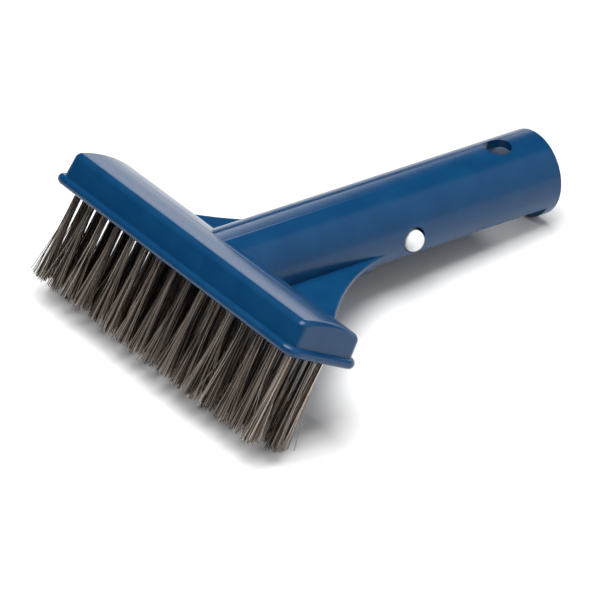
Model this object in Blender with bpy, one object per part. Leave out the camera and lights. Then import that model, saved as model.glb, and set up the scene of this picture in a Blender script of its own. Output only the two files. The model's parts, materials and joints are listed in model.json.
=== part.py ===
"""Pool wall brush: a moulded head and handle in one piece, stainless wire tufts, and a snap clip.

Metres, +Z up. X runs along the head, Y runs back towards the open end of the handle, and the
floor is z = 0. The brush lies as it is put down: on its wire tips and on the end of its handle.
"""

import math

import bmesh
import bpy
from mathutils import Vector
from mathutils.geometry import interpolate_bezier

MM = 0.001

# Head. Heights are measured up from the flat underside that the tufts come out of.
HEAD_LENGTH = 124.0 * MM
HEAD_DEPTH = 29.2 * MM
FRONT_HEIGHT = 11.4 * MM
REAR_HEIGHT = 10.3 * MM
CROWN_RISE = 2.2 * MM
HEAD_CORNER_RADIUS = 3.2 * MM
TOP_EDGE_RADIUS = 2.0 * MM
SIDE_DRAFT = 0.4 * MM
RIM_PROUD = 2.0 * MM
RIM_THICKNESS = 3.3 * MM

# Tufts: three rows, the middle one longer by one tuft, so that its tufts fill the others' gaps.
TUFTS_IN_OUTER_ROW = 16
OUTER_ROW_INSET = 5.0 * MM
MIDDLE_ROW_INSET = 2.4 * MM
ROW_PITCH = 7.25 * MM
FIELD_FORWARD = 0.75 * MM
WIRE_LENGTH = 32.0 * MM
TUFT_ROOT_RADIUS = 1.25 * MM
TUFT_TIP_GAP = 1.05 * MM
TUFT_HOLE_DEPTH = 8.0 * MM

# Handle tube. Distances along it are measured from the middle of the head.
TUBE_DIAMETER = 30.0 * MM
TUBE_WALL = 2.8 * MM
TUBE_END = 142.4 * MM
TUBE_ANGLE = math.radians(27.0)
AXIS_DROP = 3.5 * MM
BORE_START = 26.0 * MM
SNAP_HOLE_AT = 78.5 * MM
HANGING_HOLE_FROM_END = 17.8 * MM
HANGING_HOLE_DIAMETER = 9.8 * MM
END_RING_LENGTH = 4.5 * MM
WINDOW_START = 63.2 * MM
WINDOW_EDGE_DROP = 6.3 * MM

# Webs between the head and the tube.
WEB_THICKNESS = 2.5 * MM
WEB_DROP = 2.9 * MM
WEB_ROOT_INSET = 14.5 * MM
WEB_ROOT_BEHIND_RIM = 2.4 * MM
WEB_END_AT = 68.0 * MM

# Snap clip: one bent spring strip and two buttons. It rests a little below the handle's axis.
CLIP_DROP = 0.4 * MM
STRIP_THICKNESS = 0.8 * MM
STRIP_WIDTH = 8.0 * MM
BOW_OPENING = math.radians(40.0)
BUTTON_DIAMETER = 7.4 * MM
BUTTON_HOLE_CLEARANCE = 0.7 * MM
BUTTON_PROUD = 2.6 * MM
BUTTON_DOME_HEIGHT = 2.8 * MM
STUD_DIAMETER = 3.0 * MM
STUD_HEAD_DIAMETER = 5.2 * MM
STUD_HEAD_THICKNESS = 1.2 * MM
PAD_BEYOND_BUTTON = 6.0 * MM

# Fits.
GAP = 0.3 * MM
BORE_TO_STRIP = 0.35 * MM
OVERLAP = 1.0 * MM

# Facets.
TUBE_STEPS = 48
TUFT_STEPS = 8
CORNER_STEPS = 4
END_STEPS = 8
EDGE_STEPS = 3
BEAD_STEPS = 6

TUBE_RADIUS = TUBE_DIAMETER / 2
BORE_RADIUS = TUBE_RADIUS - TUBE_WALL
HALF_LENGTH = HEAD_LENGTH / 2
HALF_DEPTH = HEAD_DEPTH / 2
RIM_HALF_DEPTH = HALF_DEPTH + RIM_PROUD
OUTER_ROW_SPAN = HEAD_LENGTH - 2 * OUTER_ROW_INSET
MIDDLE_ROW_SPAN = HEAD_LENGTH - 2 * MIDDLE_ROW_INSET
TUFT_TIP_RADIUS = (MIDDLE_ROW_SPAN / TUFTS_IN_OUTER_ROW - TUFT_TIP_GAP) / 2
HANGING_HOLE_AT = TUBE_END - HANGING_HOLE_FROM_END
WEB_ROOT_REACH = HALF_LENGTH - WEB_ROOT_INSET
WEB_ROOT_AT = RIM_HALF_DEPTH + WEB_ROOT_BEHIND_RIM


def clear_scene():
    for obj in list(bpy.data.objects):
        bpy.data.objects.remove(obj)


def plastic(name, colour, roughness, metallic=0.0):
    """A Principled material, also used for metal by its metallic value."""
    material = bpy.data.materials.new(name)
    material.use_nodes = True
    shader = material.node_tree.nodes["Principled BSDF"]
    shader.inputs["Base Color"].default_value = (*colour, 1.0)
    shader.inputs["Roughness"].default_value = roughness
    shader.inputs["Metallic"].default_value = metallic
    material.diffuse_color = (*colour, 1.0)
    return material


def empty(name, parent, location, turn):
    """A helper frame, turned about X."""
    frame = bpy.data.objects.new(name, None)
    bpy.context.collection.objects.link(frame)
    frame.parent = parent
    frame.location = location
    frame.rotation_euler = (turn, 0.0, 0.0)
    frame.empty_display_size = 10 * MM
    return frame


def to_object(name, mesh, parent, location=(0.0, 0.0, 0.0), material=None, smooth=True):
    """A bmesh made into a named object, with its faces turned out."""
    bmesh.ops.recalc_face_normals(mesh, faces=mesh.faces)
    data = bpy.data.meshes.new(name)
    mesh.to_mesh(data)
    mesh.free()
    if smooth:
        data.shade_smooth()
    obj = bpy.data.objects.new(name, data)
    bpy.context.collection.objects.link(obj)
    obj.parent = parent
    obj.location = location
    if material:
        data.materials.append(material)
    return obj


def as_helper(obj):
    obj.hide_render = True
    obj.display_type = "WIRE"
    return obj


def boolean(obj, operation, helper):
    modifier = obj.modifiers.new(f"{operation.lower()} {helper.name}", "BOOLEAN")
    modifier.operation = operation
    modifier.solver = "EXACT"
    modifier.object = helper


def loft(mesh, rings):
    """Quads between rings of the same count, and the rings' vertices."""
    made = [[mesh.verts.new(point) for point in ring] for ring in rings]
    for low, high in zip(made, made[1:]):
        for i in range(len(low)):
            j = (i + 1) % len(low)
            mesh.faces.new((low[i], low[j], high[j], high[i]))
    return made


def circle(radius, steps, centre, across, up):
    """Points round a circle, from its middle and its two axes."""
    angles = (math.tau * i / steps for i in range(steps))
    return [centre + radius * (math.cos(a) * across + math.sin(a) * up) for a in angles]


def turned(profile, steps, centre, along, across):
    """A solid of revolution from (distance along the axis, radius) pairs, closed at both ends."""
    up = along.cross(across)
    mesh = bmesh.new()
    rings = loft(mesh, [circle(r, steps, centre + d * along, across, up) for d, r in profile])
    mesh.faces.new(reversed(rings[0]))
    mesh.faces.new(rings[-1])
    return mesh


def block(low, high):
    mesh = bmesh.new()
    bmesh.ops.create_cube(mesh, size=1.0)
    middle = (Vector(low) + Vector(high)) / 2
    bmesh.ops.scale(mesh, vec=Vector(high) - Vector(low), verts=mesh.verts)
    bmesh.ops.translate(mesh, vec=middle, verts=mesh.verts)
    return mesh


def plate(outline, low, high):
    """A flat plate from its outline in X and Y, between two heights."""
    mesh = bmesh.new()
    rings = loft(mesh, [[Vector((x, y, z)) for x, y in outline] for z in (low, high)])
    mesh.faces.new(reversed(rings[0]))
    mesh.faces.new(rings[-1])
    return mesh


X_AXIS = Vector((1.0, 0.0, 0.0))
Y_AXIS = Vector((0.0, 1.0, 0.0))
Z_AXIS = Vector((0.0, 0.0, 1.0))


# ---- the frames that everything is placed in ----


def tuft_rows():
    """(place along the depth, number of tufts, span) of each row, front to back."""
    return [
        (-FIELD_FORWARD - ROW_PITCH, TUFTS_IN_OUTER_ROW, OUTER_ROW_SPAN),
        (-FIELD_FORWARD, TUFTS_IN_OUTER_ROW + 1, MIDDLE_ROW_SPAN),
        (-FIELD_FORWARD + ROW_PITCH, TUFTS_IN_OUTER_ROW, OUTER_ROW_SPAN),
    ]


def on_tube(distance, height):
    """(depth, height) in the head's frame of a point of the handle's middle plane."""
    depth = distance * math.cos(TUBE_ANGLE) - height * math.sin(TUBE_ANGLE)
    return depth, distance * math.sin(TUBE_ANGLE) + height * math.cos(TUBE_ANGLE) - AXIS_DROP


def rest_pose():
    """The head frame's tilt, and where its origin goes for the brush to lie on z = 0, centred."""
    rear_tip = (tuft_rows()[-1][0] + TUFT_TIP_RADIUS, -WIRE_LENGTH)
    front_tip = (tuft_rows()[0][0] - TUFT_TIP_RADIUS, -WIRE_LENGTH)
    heel = on_tube(TUBE_END, -TUBE_RADIUS)
    tilt = math.atan2(heel[1] - rear_tip[1], heel[0] - rear_tip[0])
    lift = rear_tip[0] * math.sin(tilt) - rear_tip[1] * math.cos(tilt)

    def back(point):
        return point[0] * math.cos(tilt) + point[1] * math.sin(tilt)

    rearmost = max(back(heel), back(on_tube(TUBE_END, TUBE_RADIUS)))
    return tilt, (0.0, -(rearmost + back(front_tip)) / 2, lift)


# ---- the moulding ----


def half_outline(half_x, half_y, radius):
    """The right half of a rounded rectangle, front to back, with points along its end."""
    points = []
    for i in range(CORNER_STEPS + 1):
        a = -math.pi / 2 + math.pi / 2 * i / CORNER_STEPS
        points.append((half_x - radius + radius * math.cos(a), -half_y + radius + radius * math.sin(a)))
    straight = 2 * (half_y - radius)
    for i in range(1, END_STEPS):
        points.append((half_x, -half_y + radius + straight * i / END_STEPS))
    for i in range(CORNER_STEPS + 1):
        a = math.pi / 2 * i / CORNER_STEPS
        points.append((half_x - radius + radius * math.cos(a), half_y - radius + radius * math.sin(a)))
    return points


def crown(depth):
    """The height of the top over a place along the depth."""
    share = (depth + HALF_DEPTH) / HEAD_DEPTH
    edge = FRONT_HEIGHT + (REAR_HEIGHT - FRONT_HEIGHT) * share
    return edge + CROWN_RISE * (1 - (2 * share - 1) ** 2)


def head_ring(outward, height_at):
    """A ring round the head, this far outside its side walls."""
    right = half_outline(HALF_LENGTH + outward, HALF_DEPTH + outward, HEAD_CORNER_RADIUS + outward)
    ring = right + [(-x, y) for x, y in reversed(right)]
    return [Vector((x, y, height_at(y))) for x, y in ring]


def head_block(parent, material):
    """The crowned head with the rounded bead of its rim."""
    bead = RIM_THICKNESS / 2
    rings = [head_ring(0.0, lambda y: 0.0)]
    for i in range(BEAD_STEPS + 1):
        a = -math.pi / 2 + math.pi * i / BEAD_STEPS
        height = bead + bead * math.sin(a)
        rings.append(head_ring(RIM_PROUD - bead + bead * math.cos(a), lambda y, h=height: h))
    rings.append(head_ring(0.0, lambda y: RIM_THICKNESS))
    for i in range(EDGE_STEPS + 1):
        a = math.pi / 2 * i / EDGE_STEPS
        inset = -SIDE_DRAFT - TOP_EDGE_RADIUS * (1 - math.cos(a))
        drop = TOP_EDGE_RADIUS * (1 - math.sin(a))
        rings.append(head_ring(inset, lambda y, d=drop: crown(y) - d))
    mesh = bmesh.new()
    made = loft(mesh, rings)
    mesh.faces.new(reversed(made[0]))
    top = made[-1]
    half = len(top) // 2
    for i in range(half - 1):
        mesh.faces.new((top[i], top[i + 1], top[-i - 2], top[-i - 1]))
    return to_object("brush_body", mesh, parent, material=material)


def tube_outside(handle):
    """The handle's outer cylinder. It starts where its top is still buried in the head."""
    buried = FRONT_HEIGHT + AXIS_DROP - TUBE_RADIUS * math.cos(TUBE_ANGLE)
    profile = [(buried / math.sin(TUBE_ANGLE), TUBE_RADIUS), (TUBE_END, TUBE_RADIUS)]
    mesh = turned(profile, TUBE_STEPS, Vector(), Y_AXIS, X_AXIS)
    return as_helper(to_object("tube_outside", mesh, handle))


def under_head(pose):
    """The space in front of the handle and under the head, which the tufts need."""
    back = RIM_HALF_DEPTH - RIM_THICKNESS / 3
    low = (-TUBE_DIAMETER, -TUBE_DIAMETER, -TUBE_DIAMETER)
    mesh = block(low, (TUBE_DIAMETER, back, 0.4 * RIM_THICKNESS))
    return as_helper(to_object("under_head", mesh, pose))


def web_start():
    """Where the plate begins, buried in the rim with its lower face just above the underside."""
    lower_face = (WEB_DROP + WEB_THICKNESS / 2) * math.cos(TUBE_ANGLE)
    return (AXIS_DROP + lower_face + RIM_THICKNESS / 4) / math.sin(TUBE_ANGLE)


def web_outline():
    """The two webs in one plate: two concave edges from the head's ends to the tube."""
    tip = TUBE_RADIUS - 0.2 * MM
    root = Vector((WEB_ROOT_REACH, WEB_ROOT_AT, 0.0))
    end = Vector((tip, WEB_END_AT, 0.0))
    span = WEB_END_AT - WEB_ROOT_AT
    out = root + Vector((-0.45 * (WEB_ROOT_REACH - tip), 0.24 * span, 0.0))
    back = end + Vector((0.07 * (WEB_ROOT_REACH - tip), -0.42 * span, 0.0))
    edge = [(p.x, p.y) for p in interpolate_bezier(root, out, back, end, 14)]
    right = [(WEB_ROOT_REACH, web_start()), *edge, (tip - TUBE_WALL, WEB_END_AT)]
    return right + [(-x, y) for x, y in reversed(right)]


def webs(handle):
    middle = -WEB_DROP
    mesh = plate(web_outline(), middle - WEB_THICKNESS / 2, middle + WEB_THICKNESS / 2)
    return as_helper(to_object("webs", mesh, handle, smooth=False))


def bore(handle):
    profile = [(BORE_START, BORE_RADIUS), (TUBE_END + OVERLAP, BORE_RADIUS)]
    mesh = turned(profile, TUBE_STEPS, Vector(), Y_AXIS, X_AXIS)
    return as_helper(to_object("bore", mesh, handle))


def snap_holes(handle):
    """One cutter for both button holes, straight across the tube."""
    radius = BUTTON_DIAMETER / 2 + BUTTON_HOLE_CLEARANCE
    reach = TUBE_RADIUS + OVERLAP
    centre = Vector((0.0, SNAP_HOLE_AT, 0.0))
    mesh = turned([(-reach, radius), (reach, radius)], TUBE_STEPS // 2, centre, X_AXIS, Y_AXIS)
    return as_helper(to_object("snap_holes", mesh, handle))


def hanging_hole(handle):
    radius = HANGING_HOLE_DIAMETER / 2
    centre = Vector((0.0, HANGING_HOLE_AT, 0.0))
    profile = [(0.0, radius), (TUBE_RADIUS + OVERLAP, radius)]
    mesh = turned(profile, TUBE_STEPS // 2, centre, Z_AXIS, X_AXIS)
    return as_helper(to_object("hanging_hole", mesh, handle))


def underside_window(handle):
    """The handle's underside is open between the web end and the ring at its far end."""
    low = (-TUBE_DIAMETER, WINDOW_START, -TUBE_DIAMETER)
    high = (TUBE_DIAMETER, TUBE_END - END_RING_LENGTH, -WINDOW_EDGE_DROP)
    return as_helper(to_object("underside_window", block(low, high), handle, smooth=False))


def tuft_places():
    """(row, number, x, depth) of every tuft."""
    for row, (depth, count, span) in enumerate(tuft_rows(), start=1):
        for i in range(count):
            yield row, i + 1, span * (i / (count - 1) - 0.5), depth


def tuft_holes(pose):
    """One cutter with a blind hole for each tuft."""
    radius = TUFT_ROOT_RADIUS + GAP
    mesh = bmesh.new()
    for _, _, x, depth in tuft_places():
        centre = Vector((x, depth, 0.0))
        levels = (centre - OVERLAP * Z_AXIS, centre + TUFT_HOLE_DEPTH * Z_AXIS)
        rings = loft(mesh, [circle(radius, TUFT_STEPS, level, X_AXIS, Y_AXIS) for level in levels])
        mesh.faces.new(reversed(rings[0]))
        mesh.faces.new(rings[-1])
    return as_helper(to_object("tuft_holes", mesh, pose))


def brush_body(pose, handle, material):
    """Head, rim, webs and tube are one moulding, with every hole cut in it."""
    tube = tube_outside(handle)
    boolean(tube, "DIFFERENCE", under_head(pose))
    body = head_block(pose, material)
    boolean(body, "UNION", tube)
    boolean(body, "UNION", webs(handle))
    boolean(body, "DIFFERENCE", bore(handle))
    boolean(body, "DIFFERENCE", underside_window(handle))
    boolean(body, "DIFFERENCE", snap_holes(handle))
    boolean(body, "DIFFERENCE", hanging_hole(handle))
    boolean(body, "DIFFERENCE", tuft_holes(pose))
    return body


# ---- the tufts ----


def tufts(pose, material):
    """A closed solid for each bundle of wire: straight at its root, spread at its tip."""
    spread = TUFT_TIP_RADIUS - TUFT_ROOT_RADIUS
    profile = [
        (-WIRE_LENGTH, TUFT_TIP_RADIUS),
        (-0.62 * WIRE_LENGTH, TUFT_ROOT_RADIUS + 0.42 * spread),
        (-0.25 * WIRE_LENGTH, TUFT_ROOT_RADIUS),
        (TUFT_HOLE_DEPTH - GAP, TUFT_ROOT_RADIUS),
    ]
    for row, number, x, depth in tuft_places():
        mesh = turned(profile, TUFT_STEPS, Vector(), Z_AXIS, X_AXIS)
        to_object(f"tuft_row{row}_{number:02d}", mesh, pose, (x, depth, 0.0), material)


# ---- the snap clip ----


def strip_from(centreline, name, parent, location, material):
    """A flat strip of spring steel from its centreline, standing across the handle's width."""
    half = STRIP_THICKNESS / 2
    left = []
    right = []
    last = len(centreline) - 1
    for i, (x, y) in enumerate(centreline):
        before = Vector(centreline[max(i - 1, 0)])
        after = Vector(centreline[min(i + 1, last)])
        along = (after - before).normalized()
        left.append((x - half * along.y, y + half * along.x))
        right.append((x + half * along.y, y - half * along.x))
    mesh = plate(left + right[::-1], -STRIP_WIDTH / 2, STRIP_WIDTH / 2)
    return to_object(name, mesh, parent, location, material, smooth=False)


def pad_reach():
    """How far from the handle's axis the strip's middle line lies behind a button."""
    lower_edge = STRIP_WIDTH / 2 + CLIP_DROP
    flat = math.sqrt(BORE_RADIUS**2 - lower_edge**2)
    return flat - BORE_TO_STRIP - STRIP_THICKNESS / 2


def bow_centre():
    """The bow's arc sits just clear of the bore's closed end."""
    return BORE_START + GAP + STRIP_THICKNESS / 2 + pad_reach()


def neck():
    """(x, distance) where the bow ends on the right and the arm hinges."""
    x = pad_reach() * math.cos(BOW_OPENING)
    return x, bow_centre() + pad_reach() * math.sin(BOW_OPENING)


def spring_bow(clip, material):
    steps = 26
    start = -BOW_OPENING
    sweep = math.pi + 2 * BOW_OPENING
    points = []
    for i in range(steps + 1):
        a = start + sweep * i / steps
        points.append((pad_reach() * math.cos(a), bow_centre() - pad_reach() * math.sin(a)))
    return strip_from(points, "spring_bow", clip, (0.0, 0.0, 0.0), material)


def arm_centreline(side):
    """From the neck, in the hinge's own frame: a reverse bend, then straight to the pad's end."""
    x, distance = neck()
    heading = Vector((-math.sin(BOW_OPENING), math.cos(BOW_OPENING), 0.0))
    start = heading * GAP
    pad_start = SNAP_HOLE_AT - PAD_BEYOND_BUTTON - distance
    pad = Vector((pad_reach() - x, pad_start, 0.0))
    bend = 0.25 * pad_start
    curve = interpolate_bezier(start, start + heading * bend, pad - Y_AXIS * 2 * bend, pad, 14)
    points = [(p.x, p.y) for p in curve]
    points.append((pad.x, pad_start + 2 * PAD_BEYOND_BUTTON))
    return [(side * px, py) for px, py in points]


def snap_arm(side, word, clip, steel, white):
    """One arm of the spring with its button, in a frame on the axis that it bends about."""
    x, distance = neck()
    hinge = empty(f"hinge_{word}", clip, (side * x, distance, 0.0), 0.0)
    arm = strip_from(arm_centreline(side), f"spring_arm_{word}", hinge, (0.0, 0.0, 0.0), steel)
    outward = side * X_AXIS
    centre = Vector((-side * x, SNAP_HOLE_AT - distance, 0.0))
    face = pad_reach() + STRIP_THICKNESS / 2
    hole = STUD_DIAMETER / 2 + GAP
    span = [(face - 2 * STRIP_THICKNESS, hole), (face + STRIP_THICKNESS, hole)]
    cutter = turned(span, TUBE_STEPS // 3, centre, outward, Y_AXIS)
    boolean(arm, "DIFFERENCE", as_helper(to_object(f"stud_hole_{word}", cutter, hinge)))
    inner = face - STRIP_THICKNESS - GAP
    tip = TUBE_RADIUS + BUTTON_PROUD
    shoulder = tip - BUTTON_DOME_HEIGHT
    radius = BUTTON_DIAMETER / 2
    profile = [
        (inner - STUD_HEAD_THICKNESS, STUD_HEAD_DIAMETER / 2),
        (inner, STUD_HEAD_DIAMETER / 2),
        (inner, STUD_DIAMETER / 2),
        (face + GAP, STUD_DIAMETER / 2),
        (face + GAP, radius),
        (shoulder, radius),
    ]
    dome_steps = 4
    for i in range(1, dome_steps + 1):
        a = math.pi / 2 * 0.9 * i / dome_steps
        profile.append((shoulder + BUTTON_DOME_HEIGHT * math.sin(a), radius * math.cos(a)))
    button = turned(profile, TUBE_STEPS // 2, centre, outward, Y_AXIS)
    to_object(f"button_{word}", button, hinge, material=white)


def main():
    clear_scene()
    tilt, place = rest_pose()
    pose = empty("rest_pose", None, place, -tilt)
    handle = empty("handle_axis", pose, (0.0, 0.0, -AXIS_DROP), TUBE_ANGLE)
    blue = plastic("moulded_blue_plastic", (0.010, 0.082, 0.245), 0.32)
    wire = plastic("stainless_wire", (0.35, 0.32, 0.30), 0.35, 1.0)
    steel = plastic("spring_steel", (0.55, 0.55, 0.54), 0.25, 1.0)
    white = plastic("white_plastic", (0.86, 0.86, 0.85), 0.35)
    brush_body(pose, handle, blue)
    tufts(pose, wire)
    clip = empty("snap_clip", handle, (0.0, 0.0, -CLIP_DROP), 0.0)
    spring_bow(clip, steel)
    snap_arm(1, "right", clip, steel, white)
    snap_arm(-1, "left", clip, steel, white)


main()
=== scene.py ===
# %% [markdown]
# # Pool wall brush
# A wire brush for scrubbing algae off a pool's walls. A single blue moulding is both the head and
# the handle tube, 49 tufts of stainless wire stand in its underside, and a spring clip inside the
# tube pushes a white button out through each side, to lock the brush to a pole.
#
# The measured model is loaded first and never changed. Everything made here sits in its frame:
# metres, +X along the head, +Y back along the handle, +Z up, and the floor at z = 0.

# %% Load the measured model
import json
import math

import bmesh
import bpy
from mathutils import Matrix, Vector
from mathutils.geometry import interpolate_bezier


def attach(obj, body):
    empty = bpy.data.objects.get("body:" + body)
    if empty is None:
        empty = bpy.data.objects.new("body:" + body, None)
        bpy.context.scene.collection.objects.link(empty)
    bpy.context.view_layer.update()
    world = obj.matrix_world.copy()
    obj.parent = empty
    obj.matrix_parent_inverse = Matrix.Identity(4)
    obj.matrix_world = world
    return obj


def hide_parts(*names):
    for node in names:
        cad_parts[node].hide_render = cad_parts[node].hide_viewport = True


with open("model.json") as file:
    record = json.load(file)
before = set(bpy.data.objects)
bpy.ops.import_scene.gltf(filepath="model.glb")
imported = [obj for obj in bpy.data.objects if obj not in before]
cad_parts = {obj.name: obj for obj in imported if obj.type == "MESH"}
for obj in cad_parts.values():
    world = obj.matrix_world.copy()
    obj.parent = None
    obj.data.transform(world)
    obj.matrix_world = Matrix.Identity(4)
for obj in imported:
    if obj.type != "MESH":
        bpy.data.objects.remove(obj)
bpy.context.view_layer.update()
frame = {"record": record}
MM = 0.001

# %% [markdown]
# ## Two frames
# The head and the handle each have their own frame, because nothing on this brush is square to the
# floor. The open end of the handle is a mount in the record: its axis runs along the tube, and it
# lies in the middle of the wall at the top. Both frames follow from that one point and axis.

# %% The handle's frame and the head's frame
TUBE_RADIUS = 15.0 * MM
TUBE_WALL = 2.8 * MM
TUBE_END = 142.4 * MM
TUBE_ANGLE = math.radians(27.0)
AXIS_DROP = 3.5 * MM
BORE_RADIUS = TUBE_RADIUS - TUBE_WALL

X = Vector((1.0, 0.0, 0.0))
Y = Vector((0.0, 1.0, 0.0))
Z = Vector((0.0, 0.0, 1.0))

end_mount = next(m for m in frame["record"]["mounts"] if m["name"] == "handle_end")
back = Vector(end_mount["axis"]).normalized()
up = X.cross(back)
origin = Vector(end_mount["pos_m"]) - TUBE_END * back - (TUBE_RADIUS - TUBE_WALL / 2) * up
HANDLE = Matrix.Translation(origin) @ Matrix((X, back, up)).transposed().to_4x4()
HEAD = HANDLE @ (Matrix.Translation(-AXIS_DROP * Z) @ Matrix.Rotation(TUBE_ANGLE, 4, "X")).inverted()
print("handle slopes", round(math.degrees(math.asin(-back.z)), 2), "degrees down to its end")

# %% [markdown]
# ## Camera
# A long lens from the front right, a little over a metre and a half away and about 35 degrees up.
# That far off, the tube's sides stay nearly parallel, as in a catalogue view.

# %% Place the camera
CAMERA_AT = Vector((1.01673, -0.80265, 0.90948))
CAMERA_LOOKS = Vector((-0.64693, 0.49981, -0.57590))
FOCAL_IN_FRAME_WIDTHS = 4772.23 / 600

camera = bpy.data.objects.new("camera", bpy.data.cameras.new("camera"))
bpy.context.collection.objects.link(camera)
camera.location = CAMERA_AT
camera.rotation_mode = "QUATERNION"
camera.rotation_quaternion = CAMERA_LOOKS.to_track_quat("-Z", "Y")
camera.data.sensor_width = 36.0
camera.data.lens = FOCAL_IN_FRAME_WIDTHS * camera.data.sensor_width
camera.data.clip_start = 0.05
camera.data.clip_end = 20.0
bpy.context.scene.camera = camera
print("lens", round(camera.data.lens, 1), "mm")

# %% [markdown]
# ## One way to add a node
# Materials and Geometry Nodes trees are both node trees. A single small function serves both: it
# adds a node, sets its properties, and fills each named or numbered input with a value or a link.
# Colours are written as the sRGB hex values that a maker would give, and turned to linear once.

# %% Node and colour helpers
def add(tree, kind, inputs=None, **settings):
    """A new node. An input takes a value, or a link when it is given another node's output."""
    node = tree.nodes.new(kind)
    for name, value in settings.items():
        setattr(node, name, value)
    for name, value in (inputs or {}).items():
        if isinstance(value, bpy.types.NodeSocket):
            tree.links.new(value, node.inputs[name])
        else:
            node.inputs[name].default_value = value
    return node


def linear(colour):
    """An sRGB hex colour as a linear RGBA value."""
    parts = [int(colour[i : i + 2], 16) / 255 for i in (1, 3, 5)]
    return (*[c / 12.92 if c <= 0.04045 else ((c + 0.055) / 1.055) ** 2.4 for c in parts], 1.0)


def new_material(name):
    """A material with a Principled shader joined to its output, and its tree."""
    material = bpy.data.materials.new(name)
    material.use_nodes = True
    tree = material.node_tree
    return material, tree, tree.nodes["Principled BSDF"]


# %% [markdown]
# ## Moulded blue plastic
# The body is injection-moulded in a polypropylene or ABS, coloured right through. The steel mould
# is polished but not to a mirror, so the surface is glossy with a very faint waviness, and slow
# cooling leaves slightly duller clouds in it. The waviness is about 6 mm long and a hundredth of a
# millimetre high. The fine grain is 2 microns high, and drawn 0.4 mm wide so that it can show.

# %% Blue plastic
def blue_plastic():
    material, tree, shader = new_material("moulded_blue_plastic")
    place = add(tree, "ShaderNodeTexCoord").outputs["Object"]
    clouds = add(tree, "ShaderNodeTexNoise", {"Vector": place, "Scale": 1 / (9 * MM), "Detail": 3.0})
    wave = add(tree, "ShaderNodeTexNoise", {"Vector": place, "Scale": 1 / (6 * MM), "Detail": 1.0})
    grain = add(tree, "ShaderNodeTexNoise", {"Vector": place, "Scale": 1 / (0.4 * MM), "Detail": 2.0})
    tint = add(tree, "ShaderNodeValToRGB", {"Fac": clouds.outputs["Fac"]})
    tint.color_ramp.elements[0].position = 0.35
    tint.color_ramp.elements[0].color = linear("#06385f")
    tint.color_ramp.elements[1].position = 0.65
    tint.color_ramp.elements[1].color = linear("#093d64")
    dull = add(tree, "ShaderNodeMapRange", {"Value": clouds.outputs["Fac"], "To Min": 0.2, "To Max": 0.28})
    low = add(tree, "ShaderNodeBump", {"Height": wave.outputs["Fac"], "Distance": 0.012 * MM,
                                       "Strength": 1.0})
    fine = add(tree, "ShaderNodeBump", {"Height": grain.outputs["Fac"], "Distance": 0.002 * MM,
                                        "Strength": 1.0, "Normal": low.outputs["Normal"]})
    tree.links.new(tint.outputs["Color"], shader.inputs["Base Color"])
    tree.links.new(dull.outputs["Result"], shader.inputs["Roughness"])
    tree.links.new(fine.outputs["Normal"], shader.inputs["Normal"])
    shader.inputs["IOR"].default_value = 1.49
    shader.inputs["Specular IOR Level"].default_value = 0.32
    return material


BLUE = blue_plastic()
print("made", BLUE.name)

# %% [markdown]
# ## The moulding
# On the real brush the head, its beaded rim, the two webs and the handle tube come out of one
# mould. Here it is built the same way round as it would be drawn: a lofted head, a turned tube and
# a flat web plate are joined, and then the bore, the window and the holes are cut. The same sizes
# as the measured model are used, with finer facets and rounded edges, so it can stand for it.

# %% Sizes of the moulding
HEAD_LENGTH = 124.0 * MM
HEAD_DEPTH = 29.2 * MM
FRONT_HEIGHT = 11.4 * MM
REAR_HEIGHT = 10.3 * MM
CROWN_RISE = 2.2 * MM
HEAD_CORNER_RADIUS = 3.2 * MM
TOP_EDGE_RADIUS = 2.0 * MM
SIDE_DRAFT = 0.4 * MM
RIM_PROUD = 2.0 * MM
RIM_THICKNESS = 3.3 * MM
BORE_START = 26.0 * MM
SNAP_HOLE_AT = 78.5 * MM
SNAP_HOLE_RADIUS = 4.4 * MM
HANGING_HOLE_AT = 124.6 * MM
HANGING_HOLE_RADIUS = 4.9 * MM
WINDOW_START = 63.2 * MM
WINDOW_END = 137.9 * MM
WINDOW_EDGE_DROP = 6.3 * MM
WEB_THICKNESS = 2.5 * MM
WEB_DROP = 2.9 * MM
WEB_ROOT = (47.5 * MM, 19.0 * MM)
WEB_END_AT = 68.0 * MM
WEB_SUNK_IN_TUBE = 0.2 * MM
WEB_EDGE_ROUNDING = 0.9 * MM
END_ROUNDING = 0.5 * MM
CUT_EDGE_ROUNDING = 0.3 * MM
HALF_DEPTH = HEAD_DEPTH / 2
HALF_LENGTH = HEAD_LENGTH / 2


# %% [markdown]
# A loft joins rings of the same number of points. A turned solid is a loft of circles, and a plate
# is a loft of two equal outlines. These three make every solid of the moulding.

# %% Loft, turn and plate
def as_object(name, mesh):
    """A bmesh as a linked object at the origin, its faces turned outwards."""
    bmesh.ops.recalc_face_normals(mesh, faces=mesh.faces)
    data = bpy.data.meshes.new(name)
    mesh.to_mesh(data)
    mesh.free()
    obj = bpy.data.objects.new(name, data)
    bpy.context.collection.objects.link(obj)
    return obj


def loft(mesh, rings, place):
    """Quads between rings of points, which are first moved by the matrix."""
    made = [[mesh.verts.new(place @ point) for point in ring] for ring in rings]
    for low, high in zip(made, made[1:]):
        for i in range(len(low)):
            j = (i + 1) % len(low)
            mesh.faces.new((low[i], low[j], high[j], high[i]))
    return made


def circle(radius, steps, centre, across, aside):
    angles = [math.tau * (i + 0.5) / steps for i in range(steps)]
    return [centre + radius * (math.cos(a) * across + math.sin(a) * aside) for a in angles]


def turned(name, profile, steps, centre, along, across, place):
    """A solid of revolution from (distance along its axis, radius) pairs."""
    mesh = bmesh.new()
    aside = along.cross(across)
    rings = loft(mesh, [circle(r, steps, centre + d * along, across, aside) for d, r in profile], place)
    mesh.faces.new(reversed(rings[0]))
    mesh.faces.new(rings[-1])
    return as_object(name, mesh)


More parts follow.
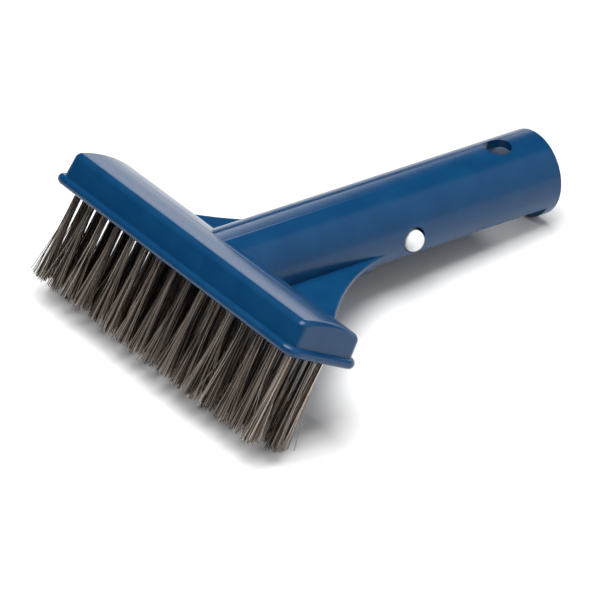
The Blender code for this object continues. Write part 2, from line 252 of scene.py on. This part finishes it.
def plate(name, outline, low, high, place):
    """A flat plate from its outline in X and Y, between two heights."""
    mesh = bmesh.new()
    rings = loft(mesh, [[Vector((x, y, z)) for x, y in outline] for z in (low, high)], place)
    mesh.faces.new(reversed(rings[0]))
    mesh.faces.new(rings[-1])
    return as_object(name, mesh)


# %% [markdown]
# The head is a rounded rectangle drawn up into a block with a low crown. Its rings climb from the
# flat underside, round the half-round bead of the rim, up the slightly drafted sides, and over the
# rounded top edge. The top is closed by strips across its depth, which follow the crown.

# %% The head
CORNER_STEPS = 8
HALF_SIDE_STEPS = 12
BEAD_STEPS = 14
TOP_EDGE_STEPS = 8


def outline_half(half_x, half_y, radius):
    """The right half of a rounded rectangle, front to back."""
    corner = [math.pi / 2 * i / CORNER_STEPS for i in range(CORNER_STEPS + 1)]
    front = [(half_x - radius * (1 - math.sin(a)), -half_y + radius * (1 - math.cos(a))) for a in corner]
    shares = [i / HALF_SIDE_STEPS - 1 for i in range(1, 2 * HALF_SIDE_STEPS)]
    side = [(half_x, (half_y - radius) * share) for share in shares]
    rear = [(half_x - radius * (1 - math.cos(a)), half_y - radius * (1 - math.sin(a))) for a in corner]
    return front + side + rear


def crown(depth):
    """The height of the head's top at a place across its depth."""
    share = (depth + HALF_DEPTH) / HEAD_DEPTH
    edge = FRONT_HEIGHT + (REAR_HEIGHT - FRONT_HEIGHT) * share
    return edge + CROWN_RISE * (1 - (2 * share - 1) ** 2)


def head_ring(outward, height_at):
    """The head's outline, grown outwards, at the height that the function gives for each depth."""
    right = outline_half(HALF_LENGTH + outward, HALF_DEPTH + outward, HEAD_CORNER_RADIUS + outward)
    return [Vector((x, y, height_at(y))) for x, y in right + [(-x, y) for x, y in reversed(right)]]


def head():
    """Underside, bead, sides and top edge as one loft, closed by the crown's strips."""
    bead = RIM_THICKNESS / 2
    rings = [head_ring(0.0, lambda y: 0.0)]
    for i in range(BEAD_STEPS + 1):
        a = math.pi * (i / BEAD_STEPS - 0.5)
        height = bead + bead * math.sin(a)
        rings.append(head_ring(RIM_PROUD - bead + bead * math.cos(a), lambda y, h=height: h))
    rings.append(head_ring(0.0, lambda y: RIM_THICKNESS))
    for i in range(TOP_EDGE_STEPS + 1):
        a = math.pi / 2 * i / TOP_EDGE_STEPS
        drop = TOP_EDGE_RADIUS * (1 - math.sin(a))
        inset = -SIDE_DRAFT - TOP_EDGE_RADIUS * (1 - math.cos(a))
        rings.append(head_ring(inset, lambda y, d=drop: crown(y) - d))
    mesh = bmesh.new()
    made = loft(mesh, rings, HEAD)
    mesh.faces.new(reversed(made[0]))
    top = made[-1]
    for i in range(len(top) // 2 - 1):
        mesh.faces.new((top[i], top[i + 1], top[-i - 2], top[-i - 1]))
    return as_object("head", mesh)


moulding = head()
print("head", len(moulding.data.polygons), "faces")

# %% [markdown]
# The tube is turned, with its end edge rounded. It starts inside the head, and the part of it that
# would come out under the head, where the tufts stand, is cut away first. The two webs are one flat
# plate through the tube, with two long concave edges that a hand has no corner to catch on.

# %% The tube and the webs
# Each pair is a share of the web's reach and a share of its length, from that end of its edge.
WEB_LEAVES_HEAD = (0.45, 0.24)
WEB_MEETS_TUBE = (0.07, 0.42)
WEB_EDGE_POINTS = 40
TUBE_STEPS = 144


def quarter(radius, steps=5):
    """(back from the edge, in from the side) along a rounded edge."""
    angles = [math.pi / 2 * i / steps for i in range(steps + 1)]
    return [(radius * (1 - math.sin(a)), radius * (1 - math.cos(a))) for a in angles]


def web_outline():
    """The plate's outline, with the concave edge as a curve from the head's root to the tube."""
    tip = TUBE_RADIUS - WEB_SUNK_IN_TUBE
    reach, root_at = WEB_ROOT
    span = WEB_END_AT - root_at
    root = Vector((reach, root_at, 0.0))
    end = Vector((tip, WEB_END_AT, 0.0))
    leave = root + Vector((-WEB_LEAVES_HEAD[0] * (reach - tip), WEB_LEAVES_HEAD[1] * span, 0.0))
    arrive = end + Vector((WEB_MEETS_TUBE[0] * (reach - tip), -WEB_MEETS_TUBE[1] * span, 0.0))
    edge = [(p.x, p.y) for p in interpolate_bezier(root, leave, arrive, end, WEB_EDGE_POINTS)]
    lower_face = (WEB_DROP + WEB_THICKNESS / 2) * math.cos(TUBE_ANGLE)
    start = (AXIS_DROP + lower_face + RIM_THICKNESS / 4) / math.sin(TUBE_ANGLE)
    right = [(reach, start), *edge, (tip - TUBE_WALL, WEB_END_AT)]
    return right + [(-x, y) for x, y in reversed(right)]


rounded = [(TUBE_END - b, TUBE_RADIUS - i) for b, i in quarter(END_ROUNDING)]
tube_start = HALF_DEPTH / 3
tube = turned("tube", [(tube_start, TUBE_RADIUS), *rounded], TUBE_STEPS, Vector(), Y, X, HANDLE)
webs = plate("webs", web_outline(), -WEB_DROP - WEB_THICKNESS / 2, -WEB_DROP + WEB_THICKNESS / 2, HANDLE)
print("tube and webs ready to join")

# %% [markdown]
# The cutters are plain solids, a little longer than what they cut. The window takes away the
# underside of the tube, so that the mould's core can be drawn and water runs out.

# %% The cutters
WIDE = 2 * TUBE_RADIUS
HOLE_STEPS = 64
CUT_SHORT_OF_RIM = RIM_THICKNESS / 3
CUT_UP_INTO_RIM = 0.4 * RIM_THICKNESS


def box(name, low, high, place):
    """A block between two corners."""
    outline = [(low[0], low[1]), (high[0], low[1]), (high[0], high[1]), (low[0], high[1])]
    return plate(name, outline, low[2], high[2], place)


mouth = [(TUBE_END - b, BORE_RADIUS + i) for b, i in quarter(END_ROUNDING)]
under_head = box("under_head", (-WIDE, -WIDE, -WIDE),
                 (WIDE, HALF_DEPTH + RIM_PROUD - CUT_SHORT_OF_RIM, CUT_UP_INTO_RIM), HEAD)
bore = turned("bore", [(BORE_START, BORE_RADIUS), *mouth, (TUBE_END + MM, BORE_RADIUS + END_ROUNDING)],
              TUBE_STEPS, Vector(), Y, X, HANDLE)
window = box("window", (-WIDE, WINDOW_START, -WIDE), (WIDE, WINDOW_END, -WINDOW_EDGE_DROP), HANDLE)
snap_holes = turned("snap_holes", [(-WIDE, SNAP_HOLE_RADIUS), (WIDE, SNAP_HOLE_RADIUS)], HOLE_STEPS,
                    Vector((0.0, SNAP_HOLE_AT, 0.0)), X, Y, HANDLE)
hanging_hole = turned("hanging_hole", [(0.0, HANGING_HOLE_RADIUS), (WIDE, HANGING_HOLE_RADIUS)], HOLE_STEPS,
                      Vector((0.0, HANGING_HOLE_AT, 0.0)), Z, X, HANDLE)
print("cutters ready")

# %% [markdown]
# ## Where the tufts go
# Three rows, 16, 17 and 16 tufts. The middle row has one more and is a little longer, so that its
# tufts stand in the gaps of the other two. Each tuft has its own blind hole.

# %% Tuft rows and their holes
ROW_PITCH = 7.25 * MM
FIELD_FORWARD = 0.75 * MM
OUTER_ROW_SPAN = 114.0 * MM
MIDDLE_ROW_SPAN = 119.2 * MM
# Each row's number, its place across the head, its count of tufts, and its span along the head.
ROWS = [
    (1, -FIELD_FORWARD - ROW_PITCH, 16, OUTER_ROW_SPAN),
    (2, -FIELD_FORWARD, 17, MIDDLE_ROW_SPAN),
    (3, -FIELD_FORWARD + ROW_PITCH, 16, OUTER_ROW_SPAN),
]
WIRE_LENGTH = 32.0 * MM
TUFT_ROOT_RADIUS = 1.25 * MM
TUFT_TIP_RADIUS = 3.2 * MM
TUFT_HOLE_RADIUS = 1.55 * MM
TUFT_HOLE_DEPTH = 8.0 * MM
TUFT_HOLE_STEPS = 16


def tuft_holes():
    """One cutter with a blind hole for each tuft."""
    mesh = bmesh.new()
    for _, depth, count, span in ROWS:
        for i in range(count):
            foot = Vector((span * (i / (count - 1) - 0.5), depth, 0.0))
            levels = (foot - MM * Z, foot + TUFT_HOLE_DEPTH * Z)
            rims = [circle(TUFT_HOLE_RADIUS, TUFT_HOLE_STEPS, level, X, Y) for level in levels]
            rings = loft(mesh, rims, HEAD)
            mesh.faces.new(reversed(rings[0]))
            mesh.faces.new(rings[-1])
    return as_object("tuft_holes", mesh)


holes = tuft_holes()
print(sum(row[2] for row in ROWS), "tufts")

# %% [markdown]
# ## Join, cut and round off
# Booleans join and cut the solids. A Bevel then takes 0.3 mm off every edge that the cuts left, as
# the mould's own rounded corners do, and leaves a small fillet where the tube meets the head.

# %% Assemble the moulding
MERGE_WITHIN = 0.01 * MM
FLAT_WITHIN = math.radians(0.5)


def boolean(obj, operation, other):
    modifier = obj.modifiers.new(other.name, "BOOLEAN")
    modifier.operation = operation
    modifier.solver = "EXACT"
    modifier.object = other


def made_plain(obj, name):
    """The object with its modifiers applied, as a new object with nothing left on it."""
    graph = bpy.context.evaluated_depsgraph_get()
    data = bpy.data.meshes.new_from_object(obj.evaluated_get(graph))
    data.name = name
    plain = bpy.data.objects.new(name, data)
    bpy.context.collection.objects.link(plain)
    return plain


def drop(*objects):
    for obj in objects:
        bpy.data.objects.remove(obj)


def round_edges(obj, width, segments, angle):
    """Rounds every edge that turns by more than the angle, in degrees."""
    modifier = obj.modifiers.new("round edges", "BEVEL")
    modifier.width = width
    modifier.segments = segments
    modifier.limit_method = "ANGLE"
    modifier.angle_limit = math.radians(angle)
    modifier.use_clamp_overlap = True


round_edges(webs, WEB_EDGE_ROUNDING, segments=4, angle=60)
boolean(tube, "DIFFERENCE", under_head)
boolean(moulding, "UNION", tube)
boolean(moulding, "UNION", webs)
for cutter in (bore, window, snap_holes, hanging_hole, holes):
    boolean(moulding, "DIFFERENCE", cutter)
joined = made_plain(moulding, "joined")
drop(moulding, tube, webs, under_head, bore, window, snap_holes, hanging_hole, holes)

mesh = bmesh.new()
mesh.from_mesh(joined.data)
bmesh.ops.remove_doubles(mesh, verts=mesh.verts, dist=MERGE_WITHIN)
bmesh.ops.dissolve_degenerate(mesh, edges=mesh.edges, dist=MERGE_WITHIN)
bmesh.ops.dissolve_limit(mesh, angle_limit=FLAT_WITHIN, verts=mesh.verts, edges=mesh.edges)
mesh.to_mesh(joined.data)
mesh.free()
round_edges(joined, CUT_EDGE_ROUNDING, segments=2, angle=32)
body = made_plain(joined, "blue_moulding")
drop(joined)
body.data.shade_smooth()
body.data.materials.clear()
body.data.materials.append(BLUE)
weighted = body.modifiers.new("weighted normals", "WEIGHTED_NORMAL")
weighted.keep_sharp = False
weighted.weight = 100
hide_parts("brush_body")
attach(body, "brush")
print("moulding", len(body.data.polygons), "faces")

# %% [markdown]
# ## Stainless wire
# Pool brushes for concrete walls carry stainless wire about a quarter of a millimetre thick. Drawn
# wire is shiny along its length and slightly scored by the die, and chlorinated water dulls it to
# a brownish grey. Each wire carries a random shade, so that neighbours can be told apart.

# %% Wire metal
def wire_metal():
    material, tree, shader = new_material("drawn_stainless_wire")
    shade = add(tree, "ShaderNodeAttribute", attribute_name="shade").outputs["Fac"]
    tint = add(tree, "ShaderNodeValToRGB", {"Fac": shade})
    tint.color_ramp.elements[0].color = linear("#14100e")
    tint.color_ramp.elements[1].color = linear("#f0e2d6")
    tint.color_ramp.elements.new(0.35).color = linear("#4a3d35")
    place = add(tree, "ShaderNodeTexCoord").outputs["Object"]
    score = add(tree, "ShaderNodeTexNoise", {"Vector": place, "Scale": 1 / (1.5 * MM), "Detail": 2.0})
    dull = add(tree, "ShaderNodeMapRange", {"Value": score.outputs["Fac"], "To Min": 0.32, "To Max": 0.48})
    tree.links.new(tint.outputs["Color"], shader.inputs["Base Color"])
    tree.links.new(dull.outputs["Result"], shader.inputs["Roughness"])
    shader.inputs["Metallic"].default_value = 0.75
    return material


WIRE = wire_metal()
print("made", WIRE.name)

# %% [markdown]
# ## The tufts
# Each tuft is a bundle of wires folded in half round a flat metal anchor and driven into its hole,
# so at the root the wires are packed tight and parallel. Nothing holds them further out: halfway
# down they start to spread, until they touch the neighbouring tufts, and a few stand out from the
# rest. A Geometry Nodes tree does it for a whole row. It places the tufts on a line, copies each
# one's point once for each wire, gives every wire its own root, tip, bow, length and shade, and
# then bends a straight line to them and gives it a thickness.

# %% The tree that makes one row of tufts
TIP_SHARES = (0.75, 1.0)
CUT_LENGTHS = (0.975, 1.035)
TUFT_DOME = 0.025
STRAY_RARITY = 20.0
FLARE_CURVE = 1.25
POINTS_PER_WIRE = 8
WIRE_SIDES = 4


def sockets(tree, rows):
    """Named inputs of a tree, from (name, socket kind) pairs, and its one geometry output."""
    for name, kind in rows:
        tree.interface.new_socket(name, in_out="INPUT", socket_type=kind)
    tree.interface.new_socket("Geometry", in_out="OUTPUT", socket_type="NodeSocketGeometry")


def row_tree():
    tree = bpy.data.node_groups.new("row of wire tufts", "GeometryNodeTree")
    whole, real = "NodeSocketInt", "NodeSocketFloat"
    sockets(tree, [("Tufts", whole), ("Span", real), ("Wires per Tuft", whole), ("Wire Length", real),
                   ("Wire Radius", real), ("Root Radius", real), ("Tip Radius", real),
                   ("Straight Share", real), ("Stray", real), ("Lean", real), ("Bow", real),
                   ("Twist", real), ("Dullest", real), ("Brightest", real), ("Depth in Hole", real),
                   ("Seed", whole), ("Material", "NodeSocketMaterial")])
    given = add(tree, "NodeGroupInput").outputs

    def maths(operation, *values):
        return add(tree, "ShaderNodeMath", dict(enumerate(values)), operation=operation).outputs[0]

    def vectors(operation, a, b):
        kind = "Scale" if operation == "SCALE" else 1
        return add(tree, "ShaderNodeVectorMath", {0: a, kind: b}, operation=operation).outputs[0]

    def chance(low, high, seed, number=None):
        """A random number for each point, or for each number that is given."""
        seeds = maths("ADD", given["Seed"], float(seed))
        node = add(tree, "FunctionNodeRandomValue", {2: low, 3: high, "Seed": seeds}, data_type="FLOAT")
        if number is not None:
            tree.links.new(number, node.inputs["ID"])
        return node.outputs[1]

    def polar(radius, angle):
        return add(tree, "ShaderNodeCombineXYZ", {
            "X": maths("MULTIPLY", radius, maths("COSINE", angle)),
            "Y": maths("MULTIPLY", radius, maths("SINE", angle)),
        }).outputs[0]

    def keep(geometry, name, kind, value):
        inputs = {"Geometry": geometry, "Name": name, "Value": value}
        return add(tree, "GeometryNodeStoreNamedAttribute", inputs,
                   data_type=kind, domain="POINT").outputs["Geometry"]

    def kept(name, kind):
        node = add(tree, "GeometryNodeInputNamedAttribute", {"Name": name}, data_type=kind)
        return node.outputs["Attribute"]

    half = maths("MULTIPLY", given["Span"], 0.5)
    left = add(tree, "ShaderNodeCombineXYZ", {"X": maths("MULTIPLY", half, -1.0)}).outputs[0]
    right = add(tree, "ShaderNodeCombineXYZ", {"X": half}).outputs[0]
    feet = add(tree, "GeometryNodeMeshLine",
               {"Count": given["Tufts"], "Start Location": left, "Offset": right},
               mode="END_POINTS").outputs[0]
    number = add(tree, "GeometryNodeInputIndex").outputs[0]
    points = keep(feet, "tuft", "FLOAT_VECTOR", add(tree, "GeometryNodeInputPosition").outputs[0])
    lean = polar(maths("MULTIPLY", given["Lean"], chance(0.0, 1.0, 1, number)),
                 chance(0.0, math.tau, 2, number))
    points = keep(points, "lean", "FLOAT_VECTOR", lean)
    points = add(tree, "GeometryNodeDuplicateElements",
                 {"Geometry": points, "Amount": given["Wires per Tuft"]},
                 domain="POINT").outputs["Geometry"]

    spread = maths("SQRT", chance(0.0, 1.0, 3))
    angle = chance(0.0, math.tau, 4)
    turn = maths("ADD", angle, maths("MULTIPLY", given["Twist"], chance(-1.0, 1.0, 5)))
    wild = maths("MULTIPLY", given["Stray"], maths("POWER", chance(0.0, 1.0, 6), STRAY_RARITY))
    share = maths("MULTIPLY", spread, chance(*TIP_SHARES, 7))
    reach = maths("ADD", maths("MULTIPLY", given["Tip Radius"], share), wild)
    root = polar(maths("MULTIPLY", given["Root Radius"], spread), angle)
    points = keep(points, "root", "FLOAT_VECTOR", root)
    points = keep(points, "tip", "FLOAT_VECTOR", polar(reach, turn))
    points = keep(points, "bow", "FLOAT_VECTOR",
                  polar(maths("MULTIPLY", given["Bow"], chance(-1.0, 1.0, 8)), chance(0.0, math.tau, 9)))
    dome = maths("MULTIPLY", maths("POWER", spread, 2.0), -TUFT_DOME)
    length = maths("MULTIPLY", given["Wire Length"], maths("ADD", dome, chance(*CUT_LENGTHS, 10)))
    points = keep(points, "length", "FLOAT", length)
    shade = maths("MULTIPLY", chance(0.0, 1.0, 11), maths("SUBTRACT", given["Brightest"], given["Dullest"]))
    points = keep(points, "shade", "FLOAT", maths("ADD", given["Dullest"], shade))

    line = add(tree, "GeometryNodeCurvePrimitiveLine", {"Start": (0, 0, 0), "End": (0, 0, -1)}).outputs[0]
    line = add(tree, "GeometryNodeResampleCurve", {"Curve": line, "Count": POINTS_PER_WIRE}).outputs[0]
    wires = add(tree, "GeometryNodeInstanceOnPoints", {"Points": points, "Instance": line}).outputs[0]
    wires = add(tree, "GeometryNodeRealizeInstances", {"Geometry": wires}).outputs[0]

    along = add(tree, "GeometryNodeSplineParameter").outputs["Factor"]
    loose = maths("DIVIDE", maths("SUBTRACT", along, given["Straight Share"]),
                  maths("SUBTRACT", 1.0, given["Straight Share"]))
    flare = maths("POWER", maths("MAXIMUM", loose, 0.0), FLARE_CURVE)
    there = vectors("ADD", kept("tuft", "FLOAT_VECTOR"), kept("root", "FLOAT_VECTOR"))
    out = vectors("SUBTRACT", kept("tip", "FLOAT_VECTOR"), kept("root", "FLOAT_VECTOR"))
    there = vectors("ADD", there, vectors("SCALE", out, flare))
    there = vectors("ADD", there, vectors("SCALE", kept("lean", "FLOAT_VECTOR"), along))
    hump = maths("SINE", maths("MULTIPLY", along, math.pi))
    there = vectors("ADD", there, vectors("SCALE", kept("bow", "FLOAT_VECTOR"), hump))
    total = maths("ADD", kept("length", "FLOAT"), given["Depth in Hole"])
    fall = maths("SUBTRACT", given["Depth in Hole"], maths("MULTIPLY", total, along))
    there = vectors("ADD", there, add(tree, "ShaderNodeCombineXYZ", {"Z": fall}).outputs[0])
    wires = add(tree, "GeometryNodeSetPosition", {"Geometry": wires, "Position": there}).outputs[0]

    section = add(tree, "GeometryNodeCurvePrimitiveCircle",
                  {"Resolution": WIRE_SIDES, "Radius": given["Wire Radius"]}, mode="RADIUS").outputs[0]
    solid = add(tree, "GeometryNodeCurveToMesh",
                {"Curve": wires, "Profile Curve": section, "Fill Caps": True})
    smooth = add(tree, "GeometryNodeSetShadeSmooth", {"Geometry": solid.outputs[0], "Shade Smooth": True})
    last = add(tree, "GeometryNodeRealizeInstances", {"Geometry": smooth.outputs[0]})
    last = add(tree, "GeometryNodeSetMaterial", {"Geometry": last.outputs[0], "Material": given["Material"]})
    add(tree, "NodeGroupOutput", {"Geometry": last.outputs[0]})
    return tree


ROW_TREE = row_tree()
print("tree with", len(ROW_TREE.nodes), "nodes")

# %% [markdown]
# The tree runs on an empty mesh for each row. Its result becomes a plain mesh, is carried to the
# row's place on the head, and any wire that would pass through the floor is laid on it instead.
# The middle row stands in the shade of the other two, and that shade is painted into its colour:
# its wires are drawn from the dull end of the same shades, as painted shade.

# %% Make the three rows
OUTER_ROW_SHADES = (0.1, 1.0)
# Painted shade: the middle row's wires are coloured darker for the shadow that the head and the outer rows
# cast on it.
MIDDLE_ROW_PAINTED_SHADE = (0.0, 0.7)
LEAST_HEIGHT = 0.05 * MM


def row_of_tufts(number, depth, count, span):
    """One row's wires as a plain mesh in its place, standing for that row's tufts."""
    maker = as_object(f"row_{number}_maker", bmesh.new())
    modifier = maker.modifiers.new("tufts", "NODES")
    modifier.node_group = ROW_TREE
    dullest, brightest = MIDDLE_ROW_PAINTED_SHADE if number == 2 else OUTER_ROW_SHADES
    values = {
        "Tufts": count, "Span": span, "Wires per Tuft": 62, "Wire Length": WIRE_LENGTH,
        "Wire Radius": 0.13 * MM, "Root Radius": TUFT_ROOT_RADIUS - 0.1 * MM, "Tip Radius": TUFT_TIP_RADIUS,
        "Straight Share": 0.34, "Stray": 4.0 * MM, "Lean": 0.5 * MM, "Bow": 0.25 * MM, "Twist": 0.3,
        "Dullest": dullest, "Brightest": brightest, "Depth in Hole": 3.0 * MM, "Seed": 100 * number,
        "Material": WIRE,
    }
    for item in ROW_TREE.interface.items_tree:
        if item.in_out == "INPUT":
            modifier[item.identifier] = values[item.name]
    bpy.context.view_layer.update()
    row = made_plain(maker, f"wire_tufts_row_{number}")
    drop(maker)
    row.data.transform(HEAD @ Matrix.Translation((0.0, depth, 0.0)))
    for point in row.data.vertices:
        point.co.z = max(point.co.z, LEAST_HEIGHT)
    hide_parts(*[f"tuft_row{number}_{i + 1:02d}" for i in range(count)])
    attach(row, "brush")
    return row


for row in ROWS:
    made = row_of_tufts(*row)
    print(made.name, len(made.data.polygons), "faces")

# %% [markdown]
# ## White snap buttons
# Each button is a small acetal or nylon moulding: a short cylinder with a low dome, pushed out
# through the tube's wall by the spring. Its dome is smooth and a little translucent.

# %% White plastic and the buttons
BUTTON_RADIUS = 3.7 * MM
BUTTON_TIP = TUBE_RADIUS + 2.6 * MM
BUTTON_DOME = 2.8 * MM
CLIP_DROP = 0.4 * MM
PAD_FACE = 11.03 * MM
PAD_THICKNESS = 1.1 * MM
PAD_CLEARANCE = 0.3 * MM
STUD_RADIUS = 1.5 * MM
STUD_HEAD_RADIUS = 2.6 * MM
STUD_HEAD_HEIGHT = 1.2 * MM
STUD_HEAD_CHAMFER = 0.3 * MM
BUTTON_STEPS = 48
DOME_STEPS = 13
DOME_TURN = math.pi / 2 * 0.985
DOME_FULLNESS = 0.9


def white_plastic():
    material, tree, shader = new_material("moulded_white_acetal")
    place = add(tree, "ShaderNodeTexCoord").outputs["Object"]
    cloud = add(tree, "ShaderNodeTexNoise", {"Vector": place, "Scale": 1 / (2 * MM), "Detail": 2.0})
    tint = add(tree, "ShaderNodeValToRGB", {"Fac": cloud.outputs["Fac"]})
    tint.color_ramp.elements[0].color = linear("#e6e8ea")
    tint.color_ramp.elements[1].color = linear("#f3f4f4")
    bump = add(tree, "ShaderNodeBump", {"Height": cloud.outputs["Fac"], "Distance": 0.01 * MM})
    tree.links.new(tint.outputs["Color"], shader.inputs["Base Color"])
    tree.links.new(bump.outputs["Normal"], shader.inputs["Normal"])
    shader.inputs["Roughness"].default_value = 0.3
    shader.inputs["Subsurface Weight"].default_value = 0.15
    shader.inputs["Subsurface Radius"].default_value = (1.0 * MM, 1.0 * MM, 1.0 * MM)
    return material


WHITE = white_plastic()


def button(side, word):
    """A button turned from its profile along its axis, from the stud's head to the top of the dome."""
    inner = PAD_FACE - PAD_THICKNESS
    outer = PAD_FACE + PAD_CLEARANCE
    shoulder = BUTTON_TIP - BUTTON_DOME
    profile = [
        (inner - STUD_HEAD_HEIGHT, STUD_HEAD_RADIUS - STUD_HEAD_CHAMFER),
        (inner - STUD_HEAD_HEIGHT + STUD_HEAD_CHAMFER, STUD_HEAD_RADIUS),
        (inner, STUD_HEAD_RADIUS),
        (inner, STUD_RADIUS),
        (outer, STUD_RADIUS),
        (outer, BUTTON_RADIUS),
        (shoulder, BUTTON_RADIUS),
    ]
    for i in range(1, DOME_STEPS + 1):
        a = DOME_TURN * i / DOME_STEPS
        profile.append((shoulder + BUTTON_DOME * math.sin(a), BUTTON_RADIUS * math.cos(a) ** DOME_FULLNESS))
    centre = Vector((0.0, SNAP_HOLE_AT, -CLIP_DROP))
    made = turned(f"snap_button_{word}", profile, BUTTON_STEPS, centre, side * X, Y, HANDLE)
    made.data.shade_smooth()
    made.data.set_sharp_from_angle(angle=math.radians(40))
    made.data.materials.append(WHITE)
    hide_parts(f"button_{word}")
    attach(made, f"{word}_snap")
    return made


for side, word in ((1, "right"), (-1, "left")):
    print(button(side, word).name)

# %% [markdown]
# ## Spring steel
# The clip is a strip of hardened spring steel, bent cold. It keeps the fine lengthwise lines of the
# rolls, so it is smooth along the strip and a little duller across it. Its shape in the measured
# model is right, so only its finish is new.

# %% Spring steel on the clip
def spring_steel():
    material, tree, shader = new_material("rolled_spring_steel")
    place = add(tree, "ShaderNodeTexCoord").outputs["Object"]
    stretched = add(tree, "ShaderNodeMapping", {"Vector": place, "Scale": (1.0, 0.08, 1.0)}).outputs[0]
    lines = add(tree, "ShaderNodeTexNoise", {"Vector": stretched, "Scale": 1 / (0.25 * MM), "Detail": 3.0})
    tint = add(tree, "ShaderNodeValToRGB", {"Fac": lines.outputs["Fac"]})
    tint.color_ramp.elements[0].color = linear("#8f9092")
    tint.color_ramp.elements[1].color = linear("#c2c2c0")
    dull = add(tree, "ShaderNodeMapRange", {"Value": lines.outputs["Fac"], "To Min": 0.22, "To Max": 0.4})
    bump = add(tree, "ShaderNodeBump", {"Height": lines.outputs["Fac"], "Distance": 0.01 * MM})
    tree.links.new(tint.outputs["Color"], shader.inputs["Base Color"])
    tree.links.new(dull.outputs["Result"], shader.inputs["Roughness"])
    tree.links.new(bump.outputs["Normal"], shader.inputs["Normal"])
    shader.inputs["Metallic"].default_value = 1.0
    return material


STEEL = spring_steel()
for node in ("spring_bow", "spring_arm_right", "spring_arm_left"):
    for slot in bpy.data.objects[node].material_slots:
        slot.material = STEEL
print("clip finished in", STEEL.name)

# %% [markdown]
# ## Floor and light
# A plain white sweep, and soft studio light. The key is a wide softbox straight overhead, so the
# shadows are short and soft all round. A large panel behind and to the right gives the tube its
# broad pale band, and two cards behind, one above the other, give the head's top its shine. The
# side that the camera is on stays dim, which keeps the front of the head deep blue.

# %% Floor
floor_mesh = bmesh.new()
bmesh.ops.create_grid(floor_mesh, x_segments=1, y_segments=1, size=6.0)
floor = as_object("floor", floor_mesh)
paper, _, paper_shader = new_material("matt_white_paper")
paper_shader.inputs["Base Color"].default_value = linear("#f2f2f2")
paper_shader.inputs["Roughness"].default_value = 1.0
paper_shader.inputs["Specular IOR Level"].default_value = 0.0
floor.data.materials.append(paper)


# %% Lights and view
def softbox(name, at, towards, width, height, watts):
    """A rectangular area light that faces a point."""
    data = bpy.data.lights.new(name, "AREA")
    data.shape = "RECTANGLE"
    data.size = width
    data.size_y = height
    data.energy = watts
    lamp = bpy.data.objects.new(name, data)
    bpy.context.collection.objects.link(lamp)
    lamp.location = at
    lamp.rotation_mode = "QUATERNION"
    lamp.rotation_quaternion = (Vector(towards) - Vector(at)).to_track_quat("-Z", "Y")
    return lamp


PANEL_AT = Vector((0.95, 0.7, 0.61))
PANEL_FACES = Vector((-0.639, 0.0, -0.769))
BRUSH_MIDDLE = (0.0, 0.0, 0.1)

softbox("key", (0.0, -0.1, 1.1), (0.0, -0.1, 0.0), 0.9, 0.9, 19.5)
softbox("right_panel", PANEL_AT, PANEL_AT + PANEL_FACES, 2.4, 1.85, 9.0)
softbox("back_card", (-0.75, 1.41, 0.17), BRUSH_MIDDLE, 1.3, 0.32, 2.6)
softbox("back_card_high", (-0.75, 1.41, 0.48), BRUSH_MIDDLE, 1.3, 0.3, 0.8)

world = bpy.data.worlds.new("studio")
world.use_nodes = True
world.node_tree.nodes["Background"].inputs["Color"].default_value = linear("#ffffff")
world.node_tree.nodes["Background"].inputs["Strength"].default_value = 0.04
scene = bpy.context.scene
scene.world = world
scene.view_settings.view_transform = "Standard"
scene.view_settings.look = "None"
